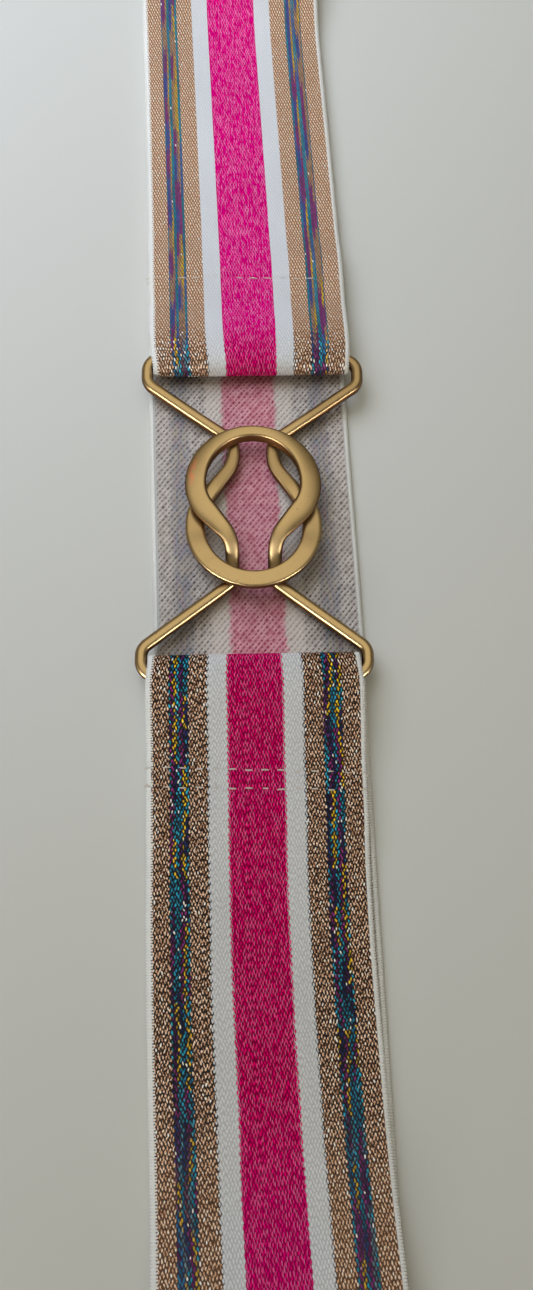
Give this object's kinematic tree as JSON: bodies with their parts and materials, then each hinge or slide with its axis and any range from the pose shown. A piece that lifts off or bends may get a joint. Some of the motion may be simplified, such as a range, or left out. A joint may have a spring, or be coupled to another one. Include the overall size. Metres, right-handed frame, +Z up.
{
  "type": "stretch belt",
  "caption": "Stretch belt of striped woven elastic, closed by interlocking hook clasp halves and laid flat as a doubled loop.",
  "frame": {"origin": "centre of the bounding box at the underside of the back layer, below the middle of the hooked rings", "axes": "+Y along the belt, +X across it, +Z up from the surface that it lies on"},
  "size_m": [0.0581, 0.39, 0.0104],
  "materials": {
    "elastic": "ribbed weave with metallic thread",
    "antique_brass": "satin, darkened in the creases"
  },
  "bodies": {
    "root": {"strap": "elastic", "clasp_half_lower": "antique_brass", "clasp_half_upper": "antique_brass"}
  },
  "joints": []
}
